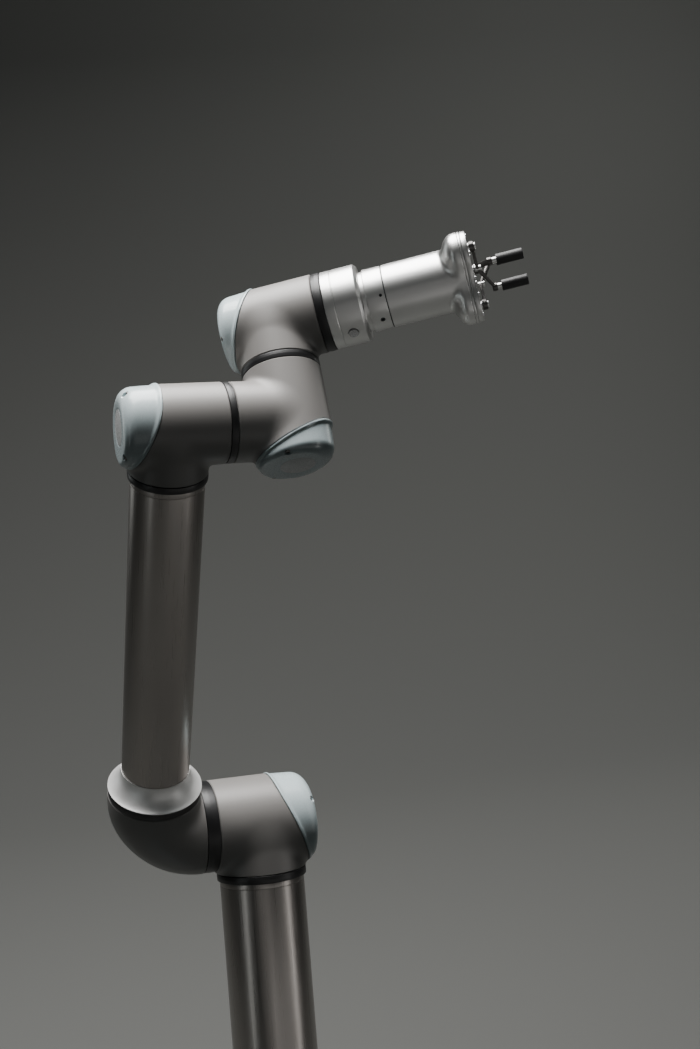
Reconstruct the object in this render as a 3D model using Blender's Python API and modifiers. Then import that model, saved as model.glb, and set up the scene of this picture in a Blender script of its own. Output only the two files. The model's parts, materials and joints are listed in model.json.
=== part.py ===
"""Collaborative robot arm: six joints in a chain, and a gripper with three fingers that turn together.

Frame: the origin is the centre of the base's mounting face, +Z points up along the base joint's axis,
and +X points along the axes of the shoulder, elbow and first wrist joints. Metres. Each moving body has
an empty on its joint's axis, and the parts of the body are children of that empty.
"""

import math

import bmesh
import bpy
from mathutils import Matrix, Vector

# The chain: distances between joint centres, and how far each link is turned in the rest pose.
SHOULDER_HEIGHT = 0.1807
UPPER_ARM_OFFSET = 0.176
UPPER_ARM_LENGTH = 0.6127
ELBOW_OFFSET = 0.137
FOREARM_LENGTH = 0.57155
WRIST_OFFSET = 0.135
WRIST_2_LENGTH = 0.11985
LIFT_TURN = math.radians(-14.73)
ELBOW_TURN = math.radians(32.38)
WRIST_1_TURN = math.radians(-51.57)
WRIST_2_TURN = math.radians(-26.33)
WRIST_3_TURN = math.radians(18.8)

# Radii of the three joint sizes and of the two arm tubes.
LARGE = 0.075
MEDIUM = 0.058
SMALL = 0.045
UPPER_TUBE = 0.0544
FOREARM_TUBE = 0.0417

# Caps, for each joint size: the flat end's distance from the joint centre, the middle of the slanted
# seam, and how far the seam moves along the axis from the middle to either side.
CAP_END = {LARGE: 0.088, MEDIUM: 0.068, SMALL: 0.056}
SEAM_MIDDLE = {LARGE: 0.046, MEDIUM: 0.0358, SMALL: 0.028}
SEAM_RISE = {LARGE: 0.0315, MEDIUM: 0.0243, SMALL: 0.019}
LIP_WIDTH = 0.005
LIP_HEIGHT = 0.0013
CAP_WALL = 0.003
CAP_ROUND = 0.010
CAP_STEPS = 2

# What is inside each joint, as fractions of its radius. The gear's face is behind the housing's end.
SHAFT_BORE = 0.16
GEAR_FACE = 0.26
GEAR_LENGTH = 0.6
MOTOR_WIDTH = 0.66
MOTOR_BACK = -0.5
BOARD_WIDTH = 0.6
BOARD_BACK = -0.62
BOARD_THICKNESS = 0.0016

WALL = {LARGE: 0.007, MEDIUM: 0.006, SMALL: 0.005}
HUB_NECK = 0.006
SEAL_DEPTH = 0.008
TUBE_WALL = 0.004
GAP = 0.0003

# The base: flange, body and the holes that bolt it down.
FLANGE_RADIUS = 0.095
FLANGE_THICKNESS = 0.012
FOOT_WIDTH = 0.006
FOOT_HEIGHT = 0.010
BASE_FLOOR = 0.010
BASE_TOP = 0.086
BOLT_CIRCLE_RADIUS = 0.085
BOLT_HOLE_RADIUS = 0.00425
GLAND_RADIUS = 0.014
GLAND_BORE = 0.006
GLAND_NUT = 0.010
GLAND_LENGTH = 0.022
GLAND_HEIGHT = 0.042

# Distances along each joint's axis from its centre: where the housing ends and where its seal ends.
REACH = {
    "pan": 0.079,
    "lift": 0.079,
    "elbow": 0.0613,
    "wrist_1": 0.0583,
    "wrist_2": 0.0561,
    "wrist_3": 0.0557,
}
SEAL_END = {
    "pan": 0.0947,
    "lift": 0.093,
    "elbow": 0.0782,
    "wrist_1": 0.0666,
    "wrist_2": 0.0654,
    "wrist_3": 0.0662,
}
# Distances from the joint centre to the end of the housing's side branch.
BRANCH = {
    "pan": 0.083,
    "lift": 0.092,
    "elbow": 0.0618,
    "wrist_1": 0.0536,
    "wrist_2": 0.0684,
    "wrist_3": 0.05445,
}

# Upper arm and forearm, as distances from the joint centre below them.
UPPER_COLLAR_LOW = 0.102
UPPER_COLLAR_HIGH = 0.128
UPPER_TUBE_HIGH = UPPER_ARM_LENGTH - 0.0718
BEND_RADIUS = 0.0588
BEND_TOP = 0.069
FOREARM_COLLAR_LOW = 0.0785
FOREARM_COLLAR_HIGH = 0.106
COLLAR_RIM = 0.003
COLLAR_LIP = 0.0012
COLLAR_DEPTH = 0.010
FOREARM_TUBE_HIGH = FOREARM_LENGTH - 0.0621

# Tool flange and gripper, as distances from the centre of the third wrist joint along the tool axis.
FLANGE_BAND_END = 0.1077
TOOL_FACE = 0.11655
CONNECTOR_TURN = math.radians(142)
CONNECTOR_AT = 0.0905
CONNECTOR_RADIUS = 0.0057
CONNECTOR_LOW = 0.0408
CONNECTOR_HIGH = 0.0458
NECK_RADIUS = 0.0335
ADAPTER_END = 0.1345
GRIPPER_RADIUS = 0.0354
LOBE_RADIUS = 0.025
LOBE_DEPTH = 0.0165
LOBE_CIRCLE = 0.0309
HEAD_CORE = 0.0345
HEAD_TURN = math.radians(47.8)
FINGERS = {"a": HEAD_TURN, "b": HEAD_TURN + math.radians(120), "c": HEAD_TURN + math.radians(240)}
BODY_END = 0.2253
SPACER_END = 0.2285
GRIPPER_FACE = 0.2345
FINGER_CIRCLE = 0.038
CAVITY_END = 0.200
MOTOR_RADIUS = 0.016
MOTOR_START = 0.152
MOTOR_END = 0.198
SHAFT_RADIUS = 0.004
SHAFT_HOLE = 0.0052
CRANK_RADIUS = 0.0029
CRANK_LOW = 0.0053
CRANK_HIGH = 0.0215
CRANK_BEND = 0.5
HUB_RADIUS = 0.0058
HUB_LOW = 0.0014
HUB_HIGH = 0.0088
STUB_RADIUS = 0.0036
PAD_RADIUS = 0.0062
PAD_LENGTH = 0.030
PAD_START = 0.0275
PAD_CIRCLE = 0.0193
PAD_TURN = math.radians(142)

SIDES = 20
INNER_SIDES = 12
# A bore is a polygon, so what fits inside it is smaller by the distance to the middle of its sides.
BORE_FIT = math.cos(math.pi / SIDES)

X_AXIS = Vector((1, 0, 0))
Z_AXIS = Vector((0, 0, 1))


def clear_scene():
    for obj in list(bpy.data.objects):
        bpy.data.objects.remove(obj)


def new_collection(name):
    collection = bpy.data.collections.new(name)
    bpy.context.scene.collection.children.link(collection)
    return collection


def new_material(name, colour, roughness, metallic):
    mat = bpy.data.materials.new(name)
    mat.use_nodes = True
    shader = mat.node_tree.nodes["Principled BSDF"]
    shader.inputs["Base Color"].default_value = (*colour, 1)
    shader.inputs["Roughness"].default_value = roughness
    shader.inputs["Metallic"].default_value = metallic
    mat.diffuse_color = (*colour, 1)
    return mat


clear_scene()
ARM = new_collection("collaborative_robot_arm")
CUTTERS = new_collection("cutters")
CUTTERS.hide_render = True

HOUSING_PAINT = new_material("housing_paint", (0.42, 0.41, 0.39), 0.38, 0.6)
CAP_PLASTIC = new_material("cap_plastic", (0.47, 0.58, 0.63), 0.3, 0.0)
SEAL_RUBBER = new_material("seal_rubber", (0.02, 0.02, 0.022), 0.5, 0.0)
TUBE_METAL = new_material("tube_metal", (0.36, 0.34, 0.32), 0.35, 1.0)
BRIGHT_METAL = new_material("bright_metal", (0.72, 0.72, 0.70), 0.3, 1.0)
DARK_METAL = new_material("dark_metal", (0.06, 0.06, 0.065), 0.4, 0.8)
PAD_RUBBER = new_material("pad_rubber", (0.015, 0.015, 0.016), 0.6, 0.0)
STEEL = new_material("steel", (0.5, 0.5, 0.52), 0.35, 1.0)
BOARD = new_material("board", (0.03, 0.16, 0.08), 0.5, 0.0)


def axis_empty(name, parent, location, turn=0.0, about="X"):
    """An empty on a joint's axis, turned about its own X, Y or Z axis."""
    empty = bpy.data.objects.new(name, None)
    empty.empty_display_size = 0.05
    ARM.objects.link(empty)
    empty.parent = parent
    empty.location = location
    setattr(empty.rotation_euler, about.lower(), turn)
    return empty


PAN_AXIS = axis_empty("pan_axis", None, (0, 0, SHOULDER_HEIGHT))
LIFT_AXIS = axis_empty("lift_axis", PAN_AXIS, (UPPER_ARM_OFFSET, 0, 0), LIFT_TURN)
ELBOW_AXIS = axis_empty("elbow_axis", LIFT_AXIS, (-ELBOW_OFFSET, 0, UPPER_ARM_LENGTH), ELBOW_TURN)
WRIST_1_AXIS = axis_empty("wrist_1_axis", ELBOW_AXIS, (WRIST_OFFSET, 0, FOREARM_LENGTH), WRIST_1_TURN)
WRIST_2_AXIS = axis_empty("wrist_2_axis", WRIST_1_AXIS, (0, 0, WRIST_2_LENGTH), WRIST_2_TURN, "Z")
WRIST_3_AXIS = axis_empty("wrist_3_axis", WRIST_2_AXIS, (0, 0, 0), WRIST_3_TURN)
FINGER_AXES = {
    letter: axis_empty(
        "finger_" + letter + "_axis",
        WRIST_3_AXIS,
        (GRIPPER_FACE, -FINGER_CIRCLE * math.sin(turn), FINGER_CIRCLE * math.cos(turn)),
    )
    for letter, turn in FINGERS.items()
}


class Place:
    """Where a part's own frame sits: its Z runs along the drive direction and its X along the branch."""

    def __init__(self, parent, location=(0, 0, 0), drive=Z_AXIS, branch=X_AXIS):
        self.parent = parent
        self.location = Vector(location)
        drive = Vector(drive)
        branch = Vector(branch)
        self.rotation = Matrix((branch, drive.cross(branch), drive)).transposed().to_euler()

    def put(self, obj):
        obj.parent = self.parent
        obj.location = self.location
        obj.rotation_euler = self.rotation


def new_object(name, mesh, mat, place, collection=None):
    obj = bpy.data.objects.new(name, mesh)
    (collection or ARM).objects.link(obj)
    mesh.materials.append(mat)
    place.put(obj)
    if collection is CUTTERS:
        obj.hide_render = True
        obj.display_type = "WIRE"
    return obj


def finish_mesh(name, bm):
    bmesh.ops.recalc_face_normals(bm, faces=bm.faces)
    mesh = bpy.data.meshes.new(name)
    bm.to_mesh(mesh)
    bm.free()
    mesh.shade_smooth()
    mesh.set_sharp_from_angle(angle=math.radians(35))
    return mesh


def add_boolean(obj, cutter, operation):
    boolean = obj.modifiers.new(operation.lower() + "_" + cutter.name, "BOOLEAN")
    boolean.operation = operation
    boolean.object = cutter
    boolean.solver = "EXACT"


def cylinder(radius, low, high, axis="Z", sides=SIDES, centre=(0, 0)):
    """A closed cylinder from low to high along Z, or along X. centre is its place across the axis."""
    bm = bmesh.new()
    bmesh.ops.create_cone(
        bm, cap_ends=True, segments=sides, radius1=radius, radius2=radius, depth=high - low
    )
    bmesh.ops.translate(bm, verts=bm.verts, vec=(centre[0], centre[1], (low + high) / 2))
    if axis == "X":
        bmesh.ops.rotate(bm, verts=bm.verts, matrix=Matrix(((0, 0, 1), (0, 1, 0), (-1, 0, 0))))
    return bm


def clip(bm, point, normal):
    """Cuts off what lies on the normal's side of a plane, and closes the cut."""
    everything = bm.verts[:] + bm.edges[:] + bm.faces[:]
    cut = bmesh.ops.bisect_plane(
        bm, geom=everything, plane_co=point, plane_no=normal, clear_outer=True
    )
    edges = [item for item in cut["geom_cut"] if isinstance(item, bmesh.types.BMEdge)]
    bmesh.ops.holes_fill(bm, edges=edges)


def turned(name, profile, mat, place, sides=SIDES, collection=None, closed=True):
    """A turned part: (radius, height) points down the outside and up the inside, screwed about Z."""
    mesh = bpy.data.meshes.new(name)
    count = len(profile)
    edges = [(i, i + 1) for i in range(count - 1)]
    if closed:
        edges.append((count - 1, 0))
    mesh.from_pydata([(radius, 0, height) for radius, height in profile], edges, [])
    obj = new_object(name, mesh, mat, place, collection)
    screw = obj.modifiers.new("turn", "SCREW")
    screw.axis = "Z"
    screw.steps = sides
    screw.render_steps = sides
    screw.use_merge_vertices = True
    screw.merge_threshold = 0.00001
    screw.use_smooth_shade = False
    return obj


def cutter(name, bm, place):
    return new_object(name, finish_mesh(name, bm), STEEL, place, CUTTERS)


def seam_plane(size, shift=0.0):
    """A point and the normal of the slanted seam, moved along its normal towards the cap by shift."""
    normal = Vector((-SEAM_RISE[size] / size, 0, -1)).normalized()
    return Vector((0, 0, -SEAM_MIDDLE[size])) + normal * shift, normal


def t_housing(joint, size, place):
    """A housing cast as a T: the drive bore along Z, the branch along X, and a slanted end for the cap."""
    wall = WALL[size]
    reach = REACH[joint]
    body = cylinder(size, -CAP_END[size], reach)
    point, normal = seam_plane(size)
    clip(body, point, normal)
    name = joint + "_housing"
    housing = new_object(name, finish_mesh(name, body), HOUSING_PAINT, place)
    branch = cutter(joint + "_branch", cylinder(size - GAP, 0, BRANCH[joint], "X"), place)
    bore = cutter(joint + "_bore", cylinder(size - wall, -size * 2, reach + wall), place)
    side_bore = cutter(
        joint + "_side_bore", cylinder(size - 2 * wall, 0, BRANCH[joint] + wall, "X"), place
    )
    mouth = cutter(
        joint + "_mouth",
        cylinder(size - wall, BRANCH[joint] - wall, BRANCH[joint] + wall, "X"),
        place,
    )
    add_boolean(housing, branch, "UNION")
    add_boolean(housing, bore, "DIFFERENCE")
    add_boolean(housing, side_bore, "DIFFERENCE")
    add_boolean(housing, mouth, "DIFFERENCE")
    return housing


def rounded_end(radius, end, side_high, rounding):
    """The outline of a cap's dome: (radius, height) from the side down to the flat end."""
    points = [(radius, side_high)]
    for step in range(CAP_STEPS + 1):
        angle = math.radians(90) * step / CAP_STEPS
        across = radius - rounding + rounding * math.cos(angle)
        points.append((across, end + rounding - rounding * math.sin(angle)))
    return points


def dome(size, inset, end):
    """A closed dome: a cylinder whose lower end is rounded, as a mesh being built."""
    bm = bmesh.new()
    outline = rounded_end(size - inset, -end, 0, CAP_ROUND)
    rings = []
    for radius, height in outline:
        ring = bmesh.ops.create_circle(bm, cap_ends=False, segments=SIDES, radius=radius)["verts"]
        bmesh.ops.translate(bm, verts=ring, vec=(0, 0, height))
        rings.append(ring)
    bmesh.ops.bridge_loops(bm, edges=bm.edges[:])
    for ring in (rings[0], rings[-1]):
        bm.faces.new(ring)
    bmesh.ops.recalc_face_normals(bm, faces=bm.faces)
    return bm


def cap(joint, size, place):
    """The end cap: a hollow dome cut by the slanted seam, with a raised lip along the cut."""
    point, normal = seam_plane(size, GAP)
    outer = dome(size, 0.0005, CAP_END[size])
    clip(outer, point, -normal)
    name = joint + "_cap"
    shell = new_object(name, finish_mesh(name, outer), CAP_PLASTIC, place)
    lip = cylinder(size + LIP_HEIGHT, -CAP_END[size], 0)
    clip(lip, point, -normal)
    lip_end, _ = seam_plane(size, GAP + LIP_WIDTH)
    clip(lip, lip_end, normal)
    inside = dome(size, CAP_WALL, CAP_END[size] - CAP_WALL)
    add_boolean(shell, cutter(joint + "_lip", lip, place), "UNION")
    add_boolean(shell, cutter(joint + "_cap_inside", inside, place), "DIFFERENCE")
    return shell


def drive_unit(joint, size, place):
    """Motor, brake and strain wave gear around the hollow shaft, as one closed unit."""
    bore = (size - WALL[size]) * BORE_FIT - GAP
    motor = MOTOR_WIDTH * size
    shaft = SHAFT_BORE * size
    gear_high = REACH[joint] - GEAR_FACE * size
    gear_low = gear_high - GEAR_LENGTH * size
    motor_low = MOTOR_BACK * size
    profile = [
        (shaft, gear_high),
        (bore, gear_high),
        (bore, gear_low),
        (motor, gear_low),
        (motor, motor_low),
        (shaft, motor_low),
    ]
    turned(joint + "_drive", profile, STEEL, place, INNER_SIDES)


def control_board(joint, size, place):
    """The round circuit board behind the motor."""
    low = BOARD_BACK * size
    name = joint + "_board"
    board = cylinder(BOARD_WIDTH * size, low, low + BOARD_THICKNESS, sides=INNER_SIDES)
    new_object(name, finish_mesh(name, board), BOARD, place)


def output_hub(joint, size, place, depth, flange):
    """The gear's output hub, which turns with the next link. A wide flange sits in that link's bore."""
    neck = size - WALL[size] - HUB_NECK
    shaft = SHAFT_BORE * size
    low = REACH[joint] - GEAR_FACE * size + GAP
    step = SEAL_END[joint] + 2 * GAP
    high = step + depth
    wide = (size - WALL[size]) * BORE_FIT - 2 * GAP
    profile = [(shaft, high), (wide, high), (wide, step), (neck, step), (neck, low), (shaft, low)]
    if not flange:
        profile = [(shaft, high), (neck, high), (neck, low), (shaft, low)]
    turned(joint + "_output_hub", profile, STEEL, place, INNER_SIDES)


def ring(name, radius, low, high, place, mat=SEAL_RUBBER, depth=SEAL_DEPTH):
    profile = [(radius, high), (radius, low), (radius - depth, low), (radius - depth, high)]
    turned(name, profile, mat, place)


def joint_unit(joint, size, place, hub_place=None, hub_depth=0.0, flange=True):
    """Everything that one joint is made of: housing, cap, seal, drive unit, board and output hub."""
    t_housing(joint, size, place)
    cap(joint, size, place)
    drive_unit(joint, size, place)
    control_board(joint, size, place)
    ring(joint + "_seal", size - GAP, REACH[joint] + GAP, SEAL_END[joint] - GAP, place)
    if hub_place:
        output_hub(joint, size, hub_place, hub_depth, flange)


def collar(name, place, low, high, rim_radius, tube_radius):
    """The bright cone that leads from a housing's end to the slimmer tube standing in it."""
    inner = tube_radius - COLLAR_DEPTH
    profile = [
        (tube_radius + COLLAR_LIP, high),
        (rim_radius, low + COLLAR_RIM),
        (rim_radius, low),
        (inner, low),
        (inner, low + COLLAR_RIM - GAP),
        (tube_radius + GAP, low + COLLAR_RIM - GAP),
        (tube_radius + GAP, high),
    ]
    turned(name, profile, BRIGHT_METAL, place)


def tube(name, radius, low, high, place):
    ring(name, radius, low, high, place, TUBE_METAL, TUBE_WALL)


def base(place):
    """The foot: a round flange with four bolt holes, and the hollow body above it."""
    body = LARGE - GAP
    inside = body - WALL[LARGE]
    profile = [
        (0, BASE_FLOOR),
        (inside, BASE_FLOOR),
        (inside, BASE_TOP),
        (body, BASE_TOP),
        (body, FLANGE_THICKNESS + FOOT_HEIGHT),
        (body + FOOT_WIDTH, FLANGE_THICKNESS),
        (FLANGE_RADIUS, FLANGE_THICKNESS),
        (FLANGE_RADIUS, 0),
        (0, 0),
    ]
    foot = turned("base_flange", profile, HOUSING_PAINT, place, closed=False)
    for index in range(4):
        angle = math.radians(45 + 90 * index)
        centre = (BOLT_CIRCLE_RADIUS * math.cos(angle), BOLT_CIRCLE_RADIUS * math.sin(angle))
        hole = cylinder(BOLT_HOLE_RADIUS, -0.01, FLANGE_THICKNESS + 0.01, sides=12, centre=centre)
        add_boolean(foot, cutter("bolt_hole_" + str(index + 1), hole, place), "DIFFERENCE")


def cable_gland(place):
    """The screwed gland at the back of the base where the arm's cable goes in. Its bore is open."""
    out = LARGE + GLAND_LENGTH
    nut_radius = GLAND_RADIUS + 0.002
    nut_end = LARGE + GLAND_NUT
    profile = [
        (GLAND_BORE, out),
        (GLAND_RADIUS - 0.003, out),
        (GLAND_RADIUS, out - 0.004),
        (GLAND_RADIUS, nut_end),
        (nut_radius, nut_end),
        (nut_radius, LARGE + 2 * GAP),
        (GLAND_BORE, LARGE + 2 * GAP),
    ]
    turned("cable_gland", profile, DARK_METAL, place, 12)


def bent_bar(name, radius, points, place, mat, collection=None, cut=None):
    """A solid round bar along points, converted from a curve, welded, and cut off at a plane if given."""
    curve = bpy.data.curves.new(name + "_path", "CURVE")
    curve.dimensions = "3D"
    curve.bevel_depth = radius
    curve.bevel_resolution = SIDES // 2 - 2 if radius > 0.01 else 2
    curve.use_fill_caps = True
    spline = curve.splines.new("POLY")
    spline.points.add(len(points) - 1)
    for point, place_of in zip(spline.points, points):
        point.co = (*place_of, 1)
    guide = bpy.data.objects.new(name + "_guide", curve)
    ARM.objects.link(guide)
    graph = bpy.context.evaluated_depsgraph_get()
    mesh = bpy.data.meshes.new_from_object(guide.evaluated_get(graph))
    bpy.data.objects.remove(guide)
    bm = bmesh.new()
    bm.from_mesh(mesh)
    bmesh.ops.remove_doubles(bm, verts=bm.verts, dist=0.00001)
    if cut:
        clip(bm, *cut)
    return new_object(name, finish_mesh(name, bm), mat, place, collection)


def bend_path(end, steps=6):
    """From beyond the elbow's output, a quarter turn towards +Z, and on up to z = end."""
    points = [(BEND_RADIUS + 0.01, 0, 0)]
    for step in range(steps + 1):
        angle = math.radians(90) * step / steps
        points.append((BEND_RADIUS * (1 - math.sin(angle)), 0, BEND_RADIUS * (1 - math.cos(angle))))
    points.append((0, 0, end))
    return points


def elbow_bend(place):
    """The quarter bend that turns from the elbow's axis into the forearm."""
    start = ((BEND_RADIUS, 0, 0), X_AXIS)
    bend = bent_bar("elbow_bend", MEDIUM - GAP, bend_path(BEND_TOP), place, HOUSING_PAINT, cut=start)
    inside = bend_path(BEND_TOP + 0.01)
    hollow = bent_bar("bend_hollow", MEDIUM - WALL[MEDIUM], inside, place, STEEL, CUTTERS)
    add_boolean(bend, hollow, "DIFFERENCE")


def tool_flange(place):
    """The flange that turns on the third wrist joint: a wide band, a neck and the spigot behind it."""
    shaft = SHAFT_BORE * SMALL
    spigot = SMALL - WALL[SMALL] - HUB_NECK
    low = REACH["wrist_3"] - GEAR_FACE * SMALL + GAP
    back = SEAL_END["wrist_3"] + GAP
    profile = [
        (shaft, TOOL_FACE - GAP),
        (NECK_RADIUS, TOOL_FACE - GAP),
        (NECK_RADIUS, FLANGE_BAND_END),
        (SMALL - 0.0035, FLANGE_BAND_END),
        (SMALL - 0.0005, FLANGE_BAND_END - 0.003),
        (SMALL - 0.0005, back),
        (spigot, back),
        (spigot, low),
        (shaft, low),
    ]
    flange = turned("tool_flange", profile, BRIGHT_METAL, place)
    pocket = cylinder(CONNECTOR_RADIUS + GAP, CONNECTOR_LOW - GAP, SMALL + 0.01, "X", sides=12)
    bmesh.ops.translate(pocket, verts=pocket.verts, vec=(0, 0, CONNECTOR_AT))
    bmesh.ops.rotate(pocket, verts=pocket.verts, matrix=Matrix.Rotation(CONNECTOR_TURN, 3, "Z"))
    add_boolean(flange, cutter("connector_pocket", pocket, place), "DIFFERENCE")


def tool_connector(place):
    """The round socket on the side of the tool flange that the gripper's lead plugs into."""
    socket = cylinder(CONNECTOR_RADIUS, CONNECTOR_LOW, CONNECTOR_HIGH, "X", sides=12)
    bmesh.ops.translate(socket, verts=socket.verts, vec=(0, 0, CONNECTOR_AT))
    bmesh.ops.rotate(socket, verts=socket.verts, matrix=Matrix.Rotation(CONNECTOR_TURN, 3, "Z"))
    new_object("tool_connector", finish_mesh("tool_connector", socket), STEEL, place)


def gripper_adapter(place):
    """The ring that clamps the gripper to the tool flange, chamfered at its rear edge."""
    profile = [
        (0.020, ADAPTER_END - GAP),
        (GRIPPER_RADIUS, ADAPTER_END - GAP),
        (GRIPPER_RADIUS, TOOL_FACE + 0.0025),
        (GRIPPER_RADIUS - 0.0025, TOOL_FACE),
        (0.020, TOOL_FACE),
    ]
    turned("gripper_adapter", profile, BRIGHT_METAL, place)


def around(radius, turn):
    """A point on a circle round the tool's axis, in the tool's own frame."""
    return (radius * math.cos(turn), radius * math.sin(turn))


def lobe(turn):
    """The rounded back of one of the head's three lobes, cut flat at the end of the body."""
    bm = bmesh.new()
    bmesh.ops.create_uvsphere(bm, u_segments=SIDES, v_segments=SIDES // 2 - 1, radius=LOBE_RADIUS)
    bmesh.ops.scale(bm, verts=bm.verts, vec=(1, 1, LOBE_DEPTH / LOBE_RADIUS))
    bmesh.ops.translate(bm, verts=bm.verts, vec=(*around(LOBE_CIRCLE, turn), BODY_END))
    clip(bm, (0, 0, BODY_END), Z_AXIS)
    return bm


def gripper_body(place):
    """The gripper's case: a round body that swells into three lobes, hollow round the motor."""
    name = "gripper_body"
    case = cylinder(GRIPPER_RADIUS, ADAPTER_END, BODY_END)
    body = new_object(name, finish_mesh(name, case), BRIGHT_METAL, place)
    for letter, turn in FINGERS.items():
        add_boolean(body, cutter("lobe_" + letter, lobe(turn), place), "UNION")
    cavity = cylinder(GRIPPER_RADIUS - 0.005, ADAPTER_END - 0.01, CAVITY_END)
    add_boolean(body, cutter("gripper_cavity", cavity, place), "DIFFERENCE")


def head_plate(name, low, high, inset, place):
    """A three-lobed plate on the head, with a hole for each finger's shaft."""
    core = cylinder(HEAD_CORE - inset, low, high)
    plate = new_object(name, finish_mesh(name, core), BRIGHT_METAL, place)
    for letter, turn in FINGERS.items():
        end = cylinder(LOBE_RADIUS - inset, low, high, centre=around(LOBE_CIRCLE, turn))
        add_boolean(plate, cutter(name + "_lobe_" + letter, end, place), "UNION")
    for letter, turn in FINGERS.items():
        centre = around(FINGER_CIRCLE, turn)
        hole = cylinder(SHAFT_HOLE, low - 0.01, high + 0.01, sides=INNER_SIDES, centre=centre)
        add_boolean(plate, cutter(name + "_hole_" + letter, hole, place), "DIFFERENCE")


def gripper_motor(place):
    motor = cylinder(MOTOR_RADIUS, MOTOR_START, MOTOR_END, sides=INNER_SIDES)
    new_object("gripper_motor", finish_mesh("gripper_motor", motor), STEEL, place)


def gripper_board(place):
    bm = bmesh.new()
    bmesh.ops.create_cube(bm, size=1)
    bmesh.ops.scale(bm, verts=bm.verts, vec=(0.040, 0.040, BOARD_THICKNESS))
    bmesh.ops.translate(bm, verts=bm.verts, vec=(0, 0, (ADAPTER_END + MOTOR_START) / 2))
    new_object("gripper_board", finish_mesh("gripper_board", bm), BOARD, place)


def finger(letter, turn):
    """A crank that passes beside the tool's axis, and the round pad at its end.

    Its frame is on the finger's own axis at the gripper's face: X points outwards from the tool's axis,
    Z away from the gripper. The pad is beyond the tool's axis, so X is negative there.
    """
    outwards = Vector((0, -math.sin(turn), math.cos(turn)))
    place = Place(FINGER_AXES[letter], (0, 0, 0), X_AXIS, outwards)
    pad_x = PAD_CIRCLE * math.cos(PAD_TURN) - FINGER_CIRCLE
    pad_y = PAD_CIRCLE * math.sin(PAD_TURN)
    path = [
        (0, 0, CRANK_LOW),
        (CRANK_BEND * pad_x, CRANK_BEND * pad_y, CRANK_LOW),
        (pad_x, pad_y, CRANK_HIGH),
        (pad_x, pad_y, PAD_START - GAP),
    ]
    name = "finger_" + letter + "_crank"
    crank = bent_bar(name, CRANK_RADIUS, path, place, DARK_METAL)
    shaft = cylinder(SHAFT_RADIUS, BODY_END - GRIPPER_FACE, HUB_LOW + 0.001, sides=INNER_SIDES)
    hub = cylinder(HUB_RADIUS, HUB_LOW, HUB_HIGH, sides=INNER_SIDES)
    stub_low = CRANK_HIGH - 0.001
    stub = cylinder(STUB_RADIUS, stub_low, PAD_START - GAP, sides=INNER_SIDES, centre=(pad_x, pad_y))
    for end, bm in (("shaft", shaft), ("hub", hub), ("stub", stub)):
        add_boolean(crank, cutter(name + "_" + end, bm, place), "UNION")
    pad_name = "finger_" + letter + "_pad"
    pad = cylinder(PAD_RADIUS, PAD_START, PAD_START + PAD_LENGTH, centre=(pad_x, pad_y))
    pad_object = new_object(pad_name, finish_mesh(pad_name, pad), PAD_RUBBER, place)
    edge = pad_object.modifiers.new("edge", "BEVEL")
    edge.width = 0.0008
    edge.segments = 1


def build_base():
    place = Place(None)
    base(place)
    cable_gland(Place(None, (0, 0, GLAND_HEIGHT), Vector((0, 1, 0)), X_AXIS))


def build_shoulder():
    place = Place(PAN_AXIS, (0, 0, 0), -Z_AXIS, X_AXIS)
    hub_place = Place(None, (0, 0, SHOULDER_HEIGHT), -Z_AXIS, X_AXIS)
    joint_unit("pan", LARGE, place, hub_place, 0.010)


def build_upper_arm():
    place = Place(LIFT_AXIS, (0, 0, 0), -X_AXIS, Z_AXIS)
    hub_place = Place(PAN_AXIS, (UPPER_ARM_OFFSET, 0, 0), -X_AXIS, Z_AXIS)
    joint_unit("lift", LARGE, place, hub_place, 0.005)
    along = Place(LIFT_AXIS)
    ring("upper_arm_foot_seal", LARGE - GAP, BRANCH["lift"] + GAP, UPPER_COLLAR_LOW - GAP, along)
    collar("upper_arm_collar", along, UPPER_COLLAR_LOW, UPPER_COLLAR_HIGH, LARGE, UPPER_TUBE)
    tube("upper_arm_tube", UPPER_TUBE, UPPER_COLLAR_LOW + COLLAR_RIM, UPPER_TUBE_HIGH - GAP, along)
    head_low = UPPER_TUBE_HIGH
    head_high = UPPER_ARM_LENGTH - BRANCH["elbow"] - GAP
    ring("upper_arm_head_seal", MEDIUM - GAP, head_low, head_high, along)
    elbow_place = Place(LIFT_AXIS, (0, 0, UPPER_ARM_LENGTH), -X_AXIS, -Z_AXIS)
    elbow_hub = Place(ELBOW_AXIS, (ELBOW_OFFSET, 0, 0), -X_AXIS, -Z_AXIS)
    joint_unit("elbow", MEDIUM, elbow_place, elbow_hub, 0.003, flange=False)


def build_forearm():
    along = Place(ELBOW_AXIS)
    elbow_bend(along)
    foot_high = FOREARM_COLLAR_LOW - GAP
    ring("forearm_foot_seal", MEDIUM - GAP, BEND_TOP + GAP, foot_high, along)
    collar(
        "forearm_collar", along, FOREARM_COLLAR_LOW, FOREARM_COLLAR_HIGH, MEDIUM, FOREARM_TUBE
    )
    tube_low = FOREARM_COLLAR_LOW + COLLAR_RIM
    tube("forearm_tube", FOREARM_TUBE, tube_low, FOREARM_TUBE_HIGH - GAP, along)
    head_high = FOREARM_LENGTH - BRANCH["wrist_1"] - GAP
    ring("forearm_head_seal", SMALL - GAP, FOREARM_TUBE_HIGH, head_high, along)
    place = Place(ELBOW_AXIS, (0, 0, FOREARM_LENGTH), X_AXIS, -Z_AXIS)
    hub_place = Place(WRIST_1_AXIS, (-WRIST_OFFSET, 0, 0), X_AXIS, -Z_AXIS)
    joint_unit("wrist_1", SMALL, place, hub_place, 0.004)


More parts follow.
